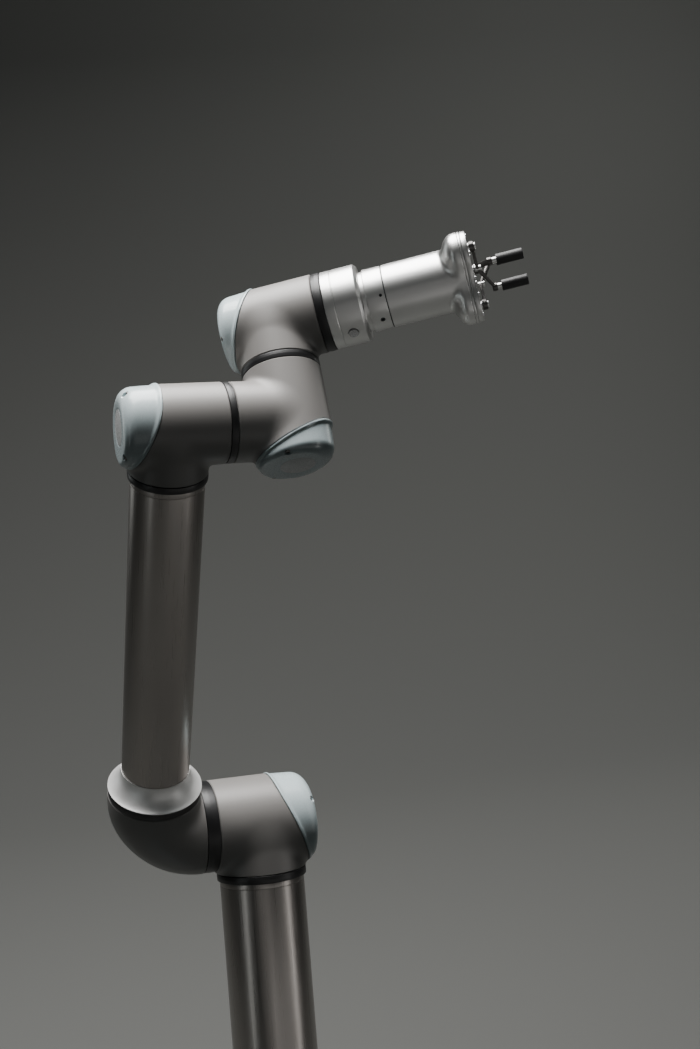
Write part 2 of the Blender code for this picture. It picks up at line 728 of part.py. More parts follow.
def build_wrist():
    place = Place(WRIST_1_AXIS, (0, 0, 0), Z_AXIS, -X_AXIS)
    hub_place = Place(WRIST_2_AXIS, (0, 0, -WRIST_2_LENGTH), Z_AXIS, -X_AXIS)
    joint_unit("wrist_2", SMALL, place, hub_place, 0.004)
    last = Place(WRIST_2_AXIS, (0, 0, 0), X_AXIS, -Z_AXIS)
    joint_unit("wrist_3", SMALL, last)


def build_tool():
    place = Place(WRIST_3_AXIS, (0, 0, 0), X_AXIS, Z_AXIS)
    tool_flange(place)
    tool_connector(place)
    gripper_adapter(place)
    gripper_body(place)
    head_plate("gripper_spacer", BODY_END + GAP, SPACER_END - GAP, 0, place)
    head_plate("gripper_front_plate", SPACER_END, GRIPPER_FACE, 0.0005, place)
    gripper_motor(place)
    gripper_board(place)
    for letter, turn in FINGERS.items():
        finger(letter, turn)


build_base()
build_shoulder()
build_upper_arm()
build_forearm()
build_wrist()
build_tool()
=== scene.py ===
"""Looks for the collaborative robot arm: smooth housings, caps, tubes, seals and gripper round the frame.

Every piece is built in the local frame of its joint. Joint centres, axes, radii and lengths are read from
the frame; the values below are what the frame doesn't say. Metres.
"""

import json
import math

import bmesh
import bpy
import numpy as np
from mathutils import Matrix, Vector


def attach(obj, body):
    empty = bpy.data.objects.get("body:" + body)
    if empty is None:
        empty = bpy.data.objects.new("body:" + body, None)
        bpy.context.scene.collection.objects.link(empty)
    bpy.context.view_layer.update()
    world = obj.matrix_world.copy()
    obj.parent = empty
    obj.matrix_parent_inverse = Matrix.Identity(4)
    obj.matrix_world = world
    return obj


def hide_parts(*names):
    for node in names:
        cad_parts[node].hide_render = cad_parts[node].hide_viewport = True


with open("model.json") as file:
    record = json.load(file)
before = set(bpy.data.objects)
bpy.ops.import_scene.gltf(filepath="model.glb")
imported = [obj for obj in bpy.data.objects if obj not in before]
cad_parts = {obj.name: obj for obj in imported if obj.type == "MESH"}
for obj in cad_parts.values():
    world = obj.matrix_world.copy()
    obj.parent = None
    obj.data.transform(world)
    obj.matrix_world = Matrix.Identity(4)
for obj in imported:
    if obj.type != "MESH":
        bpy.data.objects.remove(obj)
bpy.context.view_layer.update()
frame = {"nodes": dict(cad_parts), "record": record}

GAP = 0.0003
SIDES = 128
CAP_SIDES = 144
ARC_STEPS = 5

# Caps, as fractions of the joint's radius: the seam's middle and rise, the disc and the screws.
SEAM_MIDDLE = 0.617
SEAM_RISE = 0.42
DISC_RADIUS = 0.44
SCREW_CIRCLE = 0.85
SCREW_ANGLES = (60, 180, 300)
LARGE_CAPS = ("pan", "lift", "elbow")
CAP_TAPER = 0.0012
# The rounding of the cap's edge, and how much less it is towards the short side.
CAP_ROUNDING = 0.24
ROUNDING_CHANGE = 0.13
SEAM_EASE = 0.16
SEAM_EASE_FROM = 0.4
# The lip along the seam: how far past the seam each point is, and its height above the cap's side.
LIP_END = 0.0062
LIP_SKIRT = ((0.0008, -0.0022), (0.0008, 0.0002), (0.0010, 0.0008))
LIP_BEAD = ((0.0015, 0.0019), (0.0028, 0.0020), (0.0040, 0.0014), (0.0050, 0.0004))

BLEND = 0.007
CHAMFER = 0.0011
RIM_WIDTH = 0.005

# How much slimmer the elbow bend is on its outer side, half way round.
BEND_EASE = 0.06

# The flange's narrow neck, and the band above which it starts.
NECK_RADIUS = 0.0335
NECK_BAND = 0.00855

# The base's bolt holes, guessed: circle, hole and counterbore radii.
BOLT_CIRCLE = 0.085
BOLT_HOLE = 0.00425
COUNTERBORE = 0.0072

# The gripper's head, its plates, cranks and pads. Angles are from the first finger's direction.
LOBE_ANGLES = (0, 120, 240)
LOBE_CIRCLE = 0.0309
LOBE_RADIUS = 0.025
LOBE_DEPTH = 0.0165
LOBE_BLEND = 0.009
LOBE_WALL = 0.0045
HEAD_CORE = 0.0345
ADAPTER_LIP = 0.0038
ADAPTER_HOLES = ((47, 0.0128, 0.0018), (94, 0.0088, 0.0028))
CRANK_WIDTH = 0.0066
CRANK_THICKNESS = 0.0038
CRANK_LOW = 0.0050
CRANK_HIGH = 0.0205
LOCK_TOP = 0.0088
PAD_RADIUS = 0.0062

X_AXIS = Vector((1, 0, 0))
Z_AXIS = Vector((0, 0, 1))

JOINTS = {joint["name"]: joint for joint in frame["record"]["behaviour"]["joints"]}


def joint_point(name):
    return Vector(JOINTS[name]["pos_m"])


def joint_axis(name):
    return Vector(JOINTS[name]["axis"])


# ---------------------------------------------------------------- places


class Place:
    """A local frame: Z along the drive direction, X along the branch, at a centre."""

    def __init__(self, centre, drive, branch):
        drive = drive.normalized()
        branch = (branch - drive * branch.dot(drive)).normalized()
        turn = Matrix((branch, drive.cross(branch), drive)).transposed().to_4x4()
        self.matrix = Matrix.Translation(centre) @ turn
        self.inverse = np.array(self.matrix.inverted())

    def local(self, node):
        """The node's corners in this frame, as an array."""
        mesh = frame["nodes"][node].data
        points = np.empty(len(mesh.vertices) * 3)
        mesh.vertices.foreach_get("co", points)
        points = points.reshape(-1, 3)
        return points @ self.inverse[:3, :3].T + self.inverse[:3, 3]

    def span(self, node, axis=2):
        """How far the node reaches along one local axis: (low, high)."""
        along = self.local(node)[:, axis]
        return float(along.min()), float(along.max())

    def radius(self, node):
        """The node's largest distance from the local Z axis."""
        points = self.local(node)
        return float(np.hypot(points[:, 0], points[:, 1]).max())


def in_plane_of(point, x):
    return Vector((x, point.y, point.z))


SHOULDER = joint_point("shoulder_joint")
ELBOW = joint_point("elbow_joint")
WRIST_2 = joint_point("wrist_1_joint")
WRIST_3 = joint_point("wrist_2_joint")
UPPER_TOP = in_plane_of(ELBOW, SHOULDER.x)
WRIST_1 = in_plane_of(WRIST_2, ELBOW.x)
ALONG_UPPER = (UPPER_TOP - SHOULDER).normalized()
ALONG_FOREARM = (WRIST_1 - ELBOW).normalized()
WRIST_2_DRIVE = joint_axis("wrist_2_joint")
TOOL_DRIVE = joint_axis("wrist_3_joint")
TO_FINGER_A = joint_point("finger_a_joint") - WRIST_3

PLACES = {
    "pan": Place(joint_point("base_joint"), -Z_AXIS, X_AXIS),
    "lift": Place(SHOULDER, -X_AXIS, ALONG_UPPER),
    "elbow": Place(UPPER_TOP, -X_AXIS, -ALONG_UPPER),
    "wrist_1": Place(WRIST_1, X_AXIS, -ALONG_FOREARM),
    "wrist_2": Place(WRIST_2, WRIST_2_DRIVE, -X_AXIS),
    "wrist_3": Place(WRIST_3, TOOL_DRIVE, -WRIST_2_DRIVE),
}
CARRIERS = {
    "pan": "shoulder",
    "lift": "upper_arm",
    "elbow": "upper_arm",
    "wrist_1": "forearm",
    "wrist_2": "wrist_1",
    "wrist_3": "wrist_2",
}
BASE = Place(Vector((0, 0, 0)), Z_AXIS, X_AXIS)
UPPER_ARM = Place(SHOULDER, ALONG_UPPER, X_AXIS)
FOREARM = Place(ELBOW, ALONG_FOREARM, X_AXIS)
TOOL = Place(WRIST_3, TOOL_DRIVE, TO_FINGER_A)
GLAND = Place(Vector((0, 0, 0.042)), Vector((0, 1, 0)), X_AXIS)


# ---------------------------------------------------------------- materials


def new_material(name):
    mat = bpy.data.materials.new(name)
    mat.use_nodes = True
    nodes = mat.node_tree.nodes
    return mat, nodes, mat.node_tree.links, nodes["Principled BSDF"]


def noise(nodes, links, scale, stretch=(1, 1, 1), detail=3.0):
    """Noise in the piece's own coordinates, stretched along its axes."""
    coords = nodes.new("ShaderNodeTexCoord")
    mapping = nodes.new("ShaderNodeMapping")
    mapping.inputs["Scale"].default_value = stretch
    texture = nodes.new("ShaderNodeTexNoise")
    texture.inputs["Scale"].default_value = scale
    texture.inputs["Detail"].default_value = detail
    links.new(coords.outputs["Object"], mapping.inputs["Vector"])
    links.new(mapping.outputs["Vector"], texture.inputs["Vector"])
    return texture.outputs["Fac"]


def ramp(nodes, links, source, low, high):
    """Maps noise to a colour between low and high."""
    mix = nodes.new("ShaderNodeValToRGB")
    mix.color_ramp.elements[0].position = 0.3
    mix.color_ramp.elements[1].position = 0.7
    mix.color_ramp.elements[0].color = (*low, 1)
    mix.color_ramp.elements[1].color = (*high, 1)
    links.new(source, mix.inputs["Fac"])
    return mix.outputs["Color"]


def scaled(nodes, links, source, low, high):
    """Maps noise to a number between low and high."""
    mapping = nodes.new("ShaderNodeMapRange")
    mapping.inputs["From Min"].default_value = 0.3
    mapping.inputs["From Max"].default_value = 0.7
    mapping.inputs["To Min"].default_value = low
    mapping.inputs["To Max"].default_value = high
    links.new(source, mapping.inputs["Value"])
    return mapping.outputs["Result"]


def bump(nodes, links, shader, source, distance, strength=0.6):
    node = nodes.new("ShaderNodeBump")
    node.inputs["Distance"].default_value = distance
    node.inputs["Strength"].default_value = strength
    links.new(source, node.inputs["Height"])
    links.new(node.outputs["Normal"], shader.inputs["Normal"])


def surface(
    name, low, high, rough, metallic=0.0, tint_scale=18, grain=900, stretch=(1, 1, 1), depth=0.00002, coat=0.0
):
    """A surface whose colour drifts between low and high, with grain in its roughness and its bump."""
    mat, nodes, links, shader = new_material(name)
    shader.inputs["Metallic"].default_value = metallic
    shader.inputs["Coat Weight"].default_value = coat
    shader.inputs["Coat Roughness"].default_value = 0.12
    drift = noise(nodes, links, tint_scale, detail=4)
    links.new(ramp(nodes, links, drift, low, high), shader.inputs["Base Color"])
    fine = noise(nodes, links, grain, stretch, detail=5)
    links.new(scaled(nodes, links, fine, *rough), shader.inputs["Roughness"])
    bump(nodes, links, shader, fine, depth)
    return mat


MATERIALS = {
    "housing_metal": surface(
        "housing_metal", (0.275, 0.264, 0.254), (0.295, 0.284, 0.274), (0.40, 0.47),
        0.06, 14, 1400, depth=0.000015,
    ),
    "cap_plastic": surface(
        "cap_plastic", (0.64, 0.755, 0.785), (0.67, 0.785, 0.81), (0.24, 0.31),
        0.0, 10, 700, depth=0.000006, coat=0.25,
    ),
    "disc_plastic": surface(
        "disc_plastic", (0.80, 0.82, 0.82), (0.84, 0.86, 0.86), (0.24, 0.31),
        0.0, 12, 800, depth=0.000006, coat=0.25,
    ),
    "seal_rubber": surface(
        "seal_rubber", (0.008, 0.008, 0.009), (0.014, 0.014, 0.015), (0.34, 0.46),
        0.0, 40, 1200, depth=0.00002,
    ),
    "tube_metal": surface(
        "tube_metal", (0.300, 0.280, 0.265), (0.335, 0.315, 0.298), (0.26, 0.36),
        1.0, 6, 700, stretch=(1, 1, 0.012), depth=0.00002,
    ),
    "collar_metal": surface(
        "collar_metal", (0.74, 0.74, 0.73), (0.80, 0.80, 0.79), (0.42, 0.52), 0.6, 20, 500, depth=0.000008
    ),
    "bright_metal": surface(
        "bright_metal", (0.62, 0.62, 0.61), (0.68, 0.68, 0.67), (0.30, 0.38), 1.0, 20, 1500, depth=0.000012
    ),
    "dark_metal": surface(
        "dark_metal", (0.085, 0.082, 0.080), (0.125, 0.120, 0.116), (0.26, 0.40), 0.9, 60, 1600, depth=0.00002
    ),
    "pad_rubber": surface(
        "pad_rubber", (0.010, 0.010, 0.011), (0.018, 0.018, 0.019), (0.45, 0.60), 0.0, 80, 1600, depth=0.00004
    ),
    "steel": surface(
        "steel", (0.48, 0.48, 0.49), (0.56, 0.56, 0.57), (0.22, 0.34), 1.0, 50, 1500, depth=0.00001
    ),
    "board": surface("board", (0.02, 0.13, 0.06), (0.03, 0.18, 0.09), (0.35, 0.5), 0.0, 200, 900),
    # Near-black: painted shade for the bottoms of holes and for gaps between parts.
    "shadow_gap": surface(
        "shadow_gap", (0.006, 0.010, 0.014), (0.010, 0.016, 0.022), (0.4, 0.5), 0.0, 60, 900
    ),
}


# ---------------------------------------------------------------- making pieces


def add_mesh(name, mesh, place, body, finish, nodes=(), angle=32):
    obj = bpy.data.objects.new(name, mesh)
    bpy.context.scene.collection.objects.link(obj)
    obj.matrix_world = place.matrix
    mesh.materials.clear()
    mesh.materials.append(MATERIALS[finish])
    mesh.shade_smooth()
    mesh.set_sharp_from_angle(angle=math.radians(angle))
    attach(obj, body)
    if nodes:
        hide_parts(*nodes)
    return obj


def mesh_from(name, bm):
    bmesh.ops.recalc_face_normals(bm, faces=bm.faces)
    mesh = bpy.data.meshes.new(name)
    bm.to_mesh(mesh)
    bm.free()
    return mesh


def rounded(corners, steps=ARC_STEPS):
    """A profile of (radius, height, rounding) corners, each corner replaced by an arc."""
    points = []
    count = len(corners)
    for index, (radius, height, rounding) in enumerate(corners):
        here = Vector((radius, height))
        if rounding <= 0:
            points.append((radius, height))
            continue
        before = (Vector(corners[index - 1][:2]) - here).normalized()
        after = (Vector(corners[(index + 1) % count][:2]) - here).normalized()
        half = math.acos(max(-1.0, min(1.0, before.dot(after)))) / 2
        run = rounding / math.tan(half)
        start = here + before * run
        end = here + after * run
        centre = here + (before + after).normalized() * (rounding / math.sin(half))
        for step in range(steps + 1):
            blend = start.lerp(end, step / steps)
            points.append(tuple(centre + (blend - centre).normalized() * rounding))
    return points


def around(radius, degrees):
    turn = math.radians(degrees)
    return (radius * math.cos(turn), radius * math.sin(turn))


def lathe(name, profile, sides=SIDES, centre=(0, 0), closed=True):
    """A mesh turned about local Z from (radius, height) points. A radius of 0 ends it in one point."""
    bm = bmesh.new()
    rings = []
    for radius, height in profile:
        if radius < 1e-6:
            rings.append([bm.verts.new((centre[0], centre[1], height))])
            continue
        ring = []
        for index in range(sides):
            angle = 2 * math.pi * index / sides
            place = (centre[0] + radius * math.cos(angle), centre[1] + radius * math.sin(angle), height)
            ring.append(bm.verts.new(place))
        rings.append(ring)
    pairs = list(zip(rings, rings[1:]))
    if closed and len(rings[0]) > 1:
        pairs.append((rings[-1], rings[0]))
    for one, other in pairs:
        for index in range(sides):
            after = (index + 1) % sides
            if len(one) == 1 and len(other) == 1:
                break
            corners = [one[index % len(one)], one[after % len(one)]]
            corners += [other[after % len(other)], other[index % len(other)]]
            bm.faces.new(list(dict.fromkeys(corners)))
    return mesh_from(name, bm)


def turned(name, corners, place, body, finish, nodes=(), sides=SIDES, centre=(0, 0), closed=True):
    mesh = lathe(name, rounded(corners), sides, centre, closed)
    return add_mesh(name, mesh, place, body, finish, nodes)


def cut_holes(obj, cutters):
    """Subtracts meshes, given in the piece's own frame, and keeps the result as the piece's mesh."""
    for mesh in cutters:
        tool = bpy.data.objects.new("cutter", mesh)
        bpy.context.scene.collection.objects.link(tool)
        tool.matrix_world = obj.matrix_world
        boolean = obj.modifiers.new("hole", "BOOLEAN")
        boolean.operation = "DIFFERENCE"
        boolean.object = tool
        boolean.solver = "EXACT"
        bpy.context.view_layer.update()
        graph = bpy.context.evaluated_depsgraph_get()
        result = bpy.data.meshes.new_from_object(obj.evaluated_get(graph))
        obj.modifiers.clear()
        bpy.data.objects.remove(tool)
        obj.data = result
    obj.data.shade_smooth()
    obj.data.set_sharp_from_angle(angle=math.radians(32))


def joined(name, parts):
    """One mesh from several."""
    bm = bmesh.new()
    for part in parts:
        bm.from_mesh(part)
    mesh = bpy.data.meshes.new(name)
    bm.to_mesh(mesh)
    bm.free()
    return mesh


# ---------------------------------------------------------------- blended castings


def tube_distance(points, axis, radius, start=None):
    """Distance to a round bar along a local axis, from start onwards if that is given."""
    along = points[:, axis]
    others = [index for index in range(3) if index != axis]
    past = np.zeros(len(points)) if start is None else np.minimum(along - start, 0)
    across = np.hypot(points[:, others[0]], points[:, others[1]])
    return np.hypot(across, past) - radius


def smooth_union(one, other, width):
    near = np.maximum(width - np.abs(one - other), 0) / width
    return np.minimum(one, other) - near * near * width / 4


def settle(points, distance, rounds=5, step=0.00005):
    """Moves points onto the surface where distance is zero."""
    for _ in range(rounds):
        value = distance(points)
        slope = np.empty_like(points)
        for axis in range(3):
            shift = np.zeros(3)
            shift[axis] = step
            slope[:, axis] = (distance(points + shift) - distance(points - shift)) / (2 * step)
        length = np.maximum((slope**2).sum(axis=1), 0.05)
        points = points - slope * (value / length)[:, None]
    return points


def remeshed(bm, voxel):
    """The union of what bm holds, with even faces."""
    mesh = mesh_from("rough", bm)
    rough = bpy.data.objects.new("rough", mesh)
    bpy.context.scene.collection.objects.link(rough)
    remesh = rough.modifiers.new("remesh", "REMESH")
    remesh.mode = "VOXEL"
    remesh.voxel_size = voxel
    graph = bpy.context.evaluated_depsgraph_get()
    result = bpy.data.meshes.new_from_object(rough.evaluated_get(graph))
    bpy.data.objects.remove(rough)
    return result


def rim(bm, point, normal, chamfer, width, ease=None):
    """Cuts bm at a plane and finishes the open edge: a chamfer out to the plane, then a flat rim inwards.

    With ease, the cut is the plane moved along Z by that function of x.
    """
    if ease:
        for vert in bm.verts:
            vert.co.z += ease(vert.co.x)
    point = Vector(point)
    normal = Vector(normal).normalized()
    everything = bm.verts[:] + bm.edges[:] + bm.faces[:]
    level = point - normal * chamfer
    bmesh.ops.bisect_plane(bm, geom=everything, plane_co=level, plane_no=normal, clear_outer=True)
    loop = [
        edge
        for edge in bm.edges
        if edge.is_boundary and all(abs((v.co - level).dot(normal)) < 1e-6 for v in edge.verts)
    ]
    for rise, inset in ((chamfer, chamfer), (0, width)):
        grown = bmesh.ops.extrude_edge_only(bm, edges=loop)["geom"]
        verts = [item for item in grown if isinstance(item, bmesh.types.BMVert)]
        loop = [item for item in grown if isinstance(item, bmesh.types.BMEdge)]
        middle = sum((v.co for v in verts), Vector()) / len(verts)
        middle -= normal * (middle - level).dot(normal)
        for vert in verts:
            out = vert.co - middle
            out -= normal * out.dot(normal)
            vert.co += normal * rise - out.normalized() * inset
    if ease:
        for vert in bm.verts:
            vert.co.z -= ease(vert.co.x)


def casting(name, rough, voxel, distance, rims):
    """A smooth casting: rough shapes made even, settled onto a blended surface, then cut at its rims."""
    mesh = remeshed(rough, voxel)
    points = np.empty(len(mesh.vertices) * 3)
    mesh.vertices.foreach_get("co", points)
    points = settle(points.reshape(-1, 3), distance)
    mesh.vertices.foreach_set("co", points.reshape(-1))
    bm = bmesh.new()
    bm.from_mesh(mesh)
    for cut in rims:
        rim(bm, *cut)
    return mesh_from(name, bm)


def bar(bm, radius, low, high, axis="Z", centre=(0, 0)):
    made = bmesh.ops.create_cone(
        bm, cap_ends=True, segments=SIDES, radius1=radius, radius2=radius, depth=high - low
    )["verts"]
    bmesh.ops.translate(bm, verts=made, vec=(centre[0], centre[1], (low + high) / 2))
    if axis == "X":
        bmesh.ops.rotate(bm, verts=made, matrix=Matrix(((0, 0, 1), (0, 1, 0), (-1, 0, 0))))


def seam_normal():
    return Vector((-SEAM_RISE, 0, -1)).normalized()


def seam_ease(size, across):
    """How far the seam falls short of its plane on the cap's tall side. across is x over the radius."""
    past = max(0.0, min(1.0, (-across - SEAM_EASE_FROM) / (1 - SEAM_EASE_FROM)))
    return SEAM_RISE * size * SEAM_EASE * past * past


def t_housing(joint):
    """The cast T round a joint: drive tube along Z, branch along X, blended where they meet."""
    place = PLACES[joint]
    seal = joint + "_seal"
    size = place.radius(seal) + GAP
    reach = place.span(seal)[0] - GAP
    branch = place.span(joint + "_housing", 0)[1]
    end = -place.span(joint + "_cap")[0]
    rough = bmesh.new()
    bar(rough, size, -end - 0.02, reach + 0.02)
    bar(rough, size - 0.0004, 0, branch + 0.02, "X")

    def distance(points):
        drive = tube_distance(points, 2, size)
        side = tube_distance(points, 0, size - 0.0004, size * 0.45)
        return smooth_union(drive, side, BLEND * size / 0.045)

    rims = [
        ((0, 0, reach), (0, 0, 1), CHAMFER, RIM_WIDTH),
        ((branch, 0, 0), (1, 0, 0), CHAMFER, RIM_WIDTH),
        (
            (0, 0, -SEAM_MIDDLE * size),
            seam_normal(),
            0.0006,
            RIM_WIDTH,
            lambda x: seam_ease(size, x / size),
        ),
    ]
    name = joint + "_casting"
    mesh = casting(name, rough, size / 20, distance, rims)
    add_mesh(name, mesh, place, CARRIERS[joint], "housing_metal", [joint + "_housing"])


# ---------------------------------------------------------------- caps


def dome_profile(size, end, across=0.0):
    """The cap's outline without its slanted cut, from the side to the middle of the flat end."""
    rounding = size * (CAP_ROUNDING - ROUNDING_CHANGE * across)
    side = size - 0.0006
    corner = side - CAP_TAPER
    points = [(side, 0.0), (side, -0.3 * size)]
    for step in range(17):
        angle = math.radians(90 * step / 16)
        radius = corner - rounding * 1.1 * (1 - math.cos(angle))
        points.append((radius, -end + rounding * (1 - math.sin(angle))))
    disc = DISC_RADIUS * size
    for radius, height in ((disc + 0.0006, 0), (disc + 0.0003, 0.0005), (0.5 * disc, 0.0005)):
        points.append((radius, -end + height))
    outline = np.array(points)
    dense = []
    for one, other in zip(outline, outline[1:]):
        steps = max(2, int(np.hypot(*(other - one)) / 0.0006))
        dense += [one + (other - one) * step / steps for step in range(steps)]
    return np.array([*dense, outline[-1]])


def cap_mesh(name, size, end):
    """The cap as a grid: for each direction, the lip along the seam, then the dome down to its middle."""
    count = 40
    bm = bmesh.new()
    rows = []
    for index in range(CAP_SIDES):
        angle = 2 * math.pi * index / CAP_SIDES
        dense = dome_profile(size, end, math.cos(angle))
        slant = SEAM_RISE * math.cos(angle)
        middle = SEAM_MIDDLE * size + seam_ease(size, math.cos(angle))
        past = -dense[:, 1] - middle - slant * dense[:, 0]
        column = [(size + out, -middle - slant * (size + out) - far) for far, out in LIP_SKIRT]
        for far, out in LIP_BEAD:
            radius = float(np.interp(far, past, dense[:, 0])) + out
            column.append((radius, -middle - slant * radius - far))
        rest = dense[int(np.argmax(past >= LIP_END)) :]
        runs = np.concatenate([[0], np.cumsum(np.hypot(*np.diff(rest, axis=0).T))])
        at = np.linspace(0, runs[-1], count)
        column += list(zip(np.interp(at, runs, rest[:, 0]), np.interp(at, runs, rest[:, 1])))
        rows.append([bm.verts.new((r * math.cos(angle), r * math.sin(angle), z)) for r, z in column])
    for index, row in enumerate(rows):
        after = rows[(index + 1) % CAP_SIDES]
        for one in range(len(row) - 1):
            bm.faces.new((row[one], row[one + 1], after[one + 1], after[one]))
    bm.faces.new([row[-1] for row in rows])
    bm.faces.new([row[0] for row in reversed(rows)])
    return mesh_from(name, bm)


def screw_head(radius, low, high, centre):
    """A socket head: a short cylinder with a hexagonal recess."""
    bm = bmesh.new()
    sides = 24
    hexagon = radius * 0.52
    deep = low + (high - low) * 0.35
    rings = []
    for outline, height in ((radius, high), (radius, low), (None, low), (None, deep)):
        ring = []
        for index in range(sides):
            angle = 2 * math.pi * index / sides
            if outline is None:
                wedge = (angle + math.pi / 6) % (math.pi / 3) - math.pi / 6
                reach = hexagon * math.cos(math.pi / 6) / math.cos(wedge)
            else:
                reach = outline
            place = (centre[0] + reach * math.cos(angle), centre[1] + reach * math.sin(angle), height)
            ring.append(bm.verts.new(place))
        rings.append(ring)
    for one, other in zip(rings, rings[1:]):
        for index in range(sides):
            after = (index + 1) % sides
            bm.faces.new((one[index], one[after], other[after], other[index]))
    bm.faces.new(rings[0])
    bm.faces.new(rings[-1])
    return mesh_from("screw", bm)


def cap(joint):
    place = PLACES[joint]
    body = CARRIERS[joint]
    size = place.radius(joint + "_seal") + GAP
    end = -place.span(joint + "_cap")[0]
    name = joint + "_end_cap"
    shell = add_mesh(name, cap_mesh(name, size, end), place, body, "cap_plastic", [joint + "_cap"])
    screw_radius = 0.0036 * (size / 0.045) ** 0.5
    holes = []
    heads = []
    for turn in SCREW_ANGLES:
        if joint in LARGE_CAPS:
            turn += 60
        centre = around(SCREW_CIRCLE * size, turn)
        outline = dome_profile(size, end, math.cos(math.radians(turn)))
        outer = SCREW_CIRCLE * size + screw_radius * 0.82
        surface_at = float(np.interp(-outer, -outline[:, 0], outline[:, 1]))
        bottom = surface_at + 0.0006
        low = -end - 0.01
        profile = [(0, low), (screw_radius, low), (screw_radius, bottom), (0, bottom)]
        holes.append(lathe("hole", profile, 24, centre, False))
        heads.append(screw_head(screw_radius * 0.82, bottom - 0.0016, bottom + 0.0004, centre))
    cut_holes(shell, [joined("holes", holes)])
    add_mesh(joint + "_cap_screws", joined("screws", heads), place, body, "dark_metal")
    disc = DISC_RADIUS * size
    back, front = -end + 0.0006, -end + 0.0001
    corners = [(0, back, 0), (disc, back, 0), (disc, front, 0.0002), (0, front, 0)]
    turned(joint + "_cap_disc", corners, place, body, "disc_plastic", sides=96, closed=False)


# ---------------------------------------------------------------- seals, collars and tubes


def seal(node, place, body):
    """A rubber ring, a little crowned, with rounded edges."""
    low, high = place.span(node)
    size = place.radius(node)
    inner = size - 0.008
    edge = 0.0009
    corners = [
        (inner, low, 0),
        (inner, high, 0),
        (size - 0.0002, high, edge),
        (size + 0.0001, (low + high) / 2, 0.002),
        (size - 0.0002, low, edge),
    ]
    turned(node + "_ring", corners, place, body, "seal_rubber", [node])


def tube(node, place, body):
    low, high = place.span(node)
    size = place.radius(node)
    band = high - 0.0058
    corners = [
        (size - 0.004, low, 0),
        (size - 0.004, high, 0),
        (size, high, 0.0007),
        (size, band, 0.0002),
        (size - 0.0005, band - 0.0003, 0),
        (size - 0.0005, band - 0.0009, 0),
        (size, band - 0.0012, 0.0002),
        (size, low, 0.0006),
    ]
    turned(node + "_skin", corners, place, body, "tube_metal", [node], sides=160)


def collar(node, tube_node, place, body):
    """The flared collar: a bright cone that sweeps from the rim up to the tube."""
    low, high = place.span(node)
    size = place.radius(node)
    slim = place.radius(tube_node) + GAP
    profile = [(slim - 0.006, low), (slim - 0.0002, low + 0.004), (slim - 0.0002, high)]
    flare = math.radians(66)
    rim_height = low + 0.0016
    for step in range(25):
        angle = flare * step / 24
        across = (1 - math.cos(angle)) / (1 - math.cos(flare))
        down = math.sin(angle) / math.sin(flare)
        radius = slim + 0.0003 + (size - 0.0003 - slim) * across
        profile.append((radius, high - (high - rim_height) * down))
    profile += [(size, low + 0.0009), (size - 0.0006, low)]
    mesh = lathe(node + "_cone", profile, 192)
    add_mesh(node + "_cone", mesh, place, body, "collar_metal", [node])


def bend():
    """The quarter bend from the elbow's output up into the forearm."""
    place = Place(ELBOW, ALONG_FOREARM, X_AXIS)
    start = place.span("elbow_bend", 0)[1]
    top = place.span("elbow_bend")[1]
    size = place.radius("forearm_foot_seal") + GAP
    steps = 40
    path = []
    for step in range(steps + 1):
        angle = math.radians(90) * step / steps
        centre = (start * (1 - math.sin(angle)), 0, start * (1 - math.cos(angle)))
        path.append((centre, angle))
    path.append(((0, 0, top), math.radians(90)))
    rings = []
    for index, (centre, angle) in enumerate(path):
        first = index == 0
        last = index == len(path) - 1
        insets = [(0.0, 0.0)]
        if first:
            insets = [(RIM_WIDTH, 0.0), (CHAMFER, 0.0), (0.0, CHAMFER)]
        if last:
            insets = [(0.0, -CHAMFER), (CHAMFER, 0.0), (RIM_WIDTH, 0.0)]
        for inset, shift in insets:
            rings.append((centre, angle, size - inset, shift))
    bm = bmesh.new()
    loops = []
    for centre, angle, radius, shift in rings:
        forward = Vector((-math.cos(angle), 0, math.sin(angle)))
        side = Vector((0, 1, 0))
        up = side.cross(forward)
        loop = []
        for index in range(SIDES):
            turn = 2 * math.pi * index / SIDES
            slim = 1 - BEND_EASE * math.sin(2 * angle) ** 2 * max(0.0, -math.sin(turn))
            offset = side * math.cos(turn) + up * math.sin(turn) * slim
            loop.append(bm.verts.new(Vector(centre) + forward * shift + offset * radius))
        loops.append(loop)
    for one, other in zip(loops, loops[1:]):
        for index in range(SIDES):
            after = (index + 1) % SIDES
            bm.faces.new((one[index], one[after], other[after], other[index]))
    mesh = mesh_from("bend", bm)
    add_mesh("elbow_bend_casting", mesh, place, "forearm", "housing_metal", ["elbow_bend"])


# ---------------------------------------------------------------- base


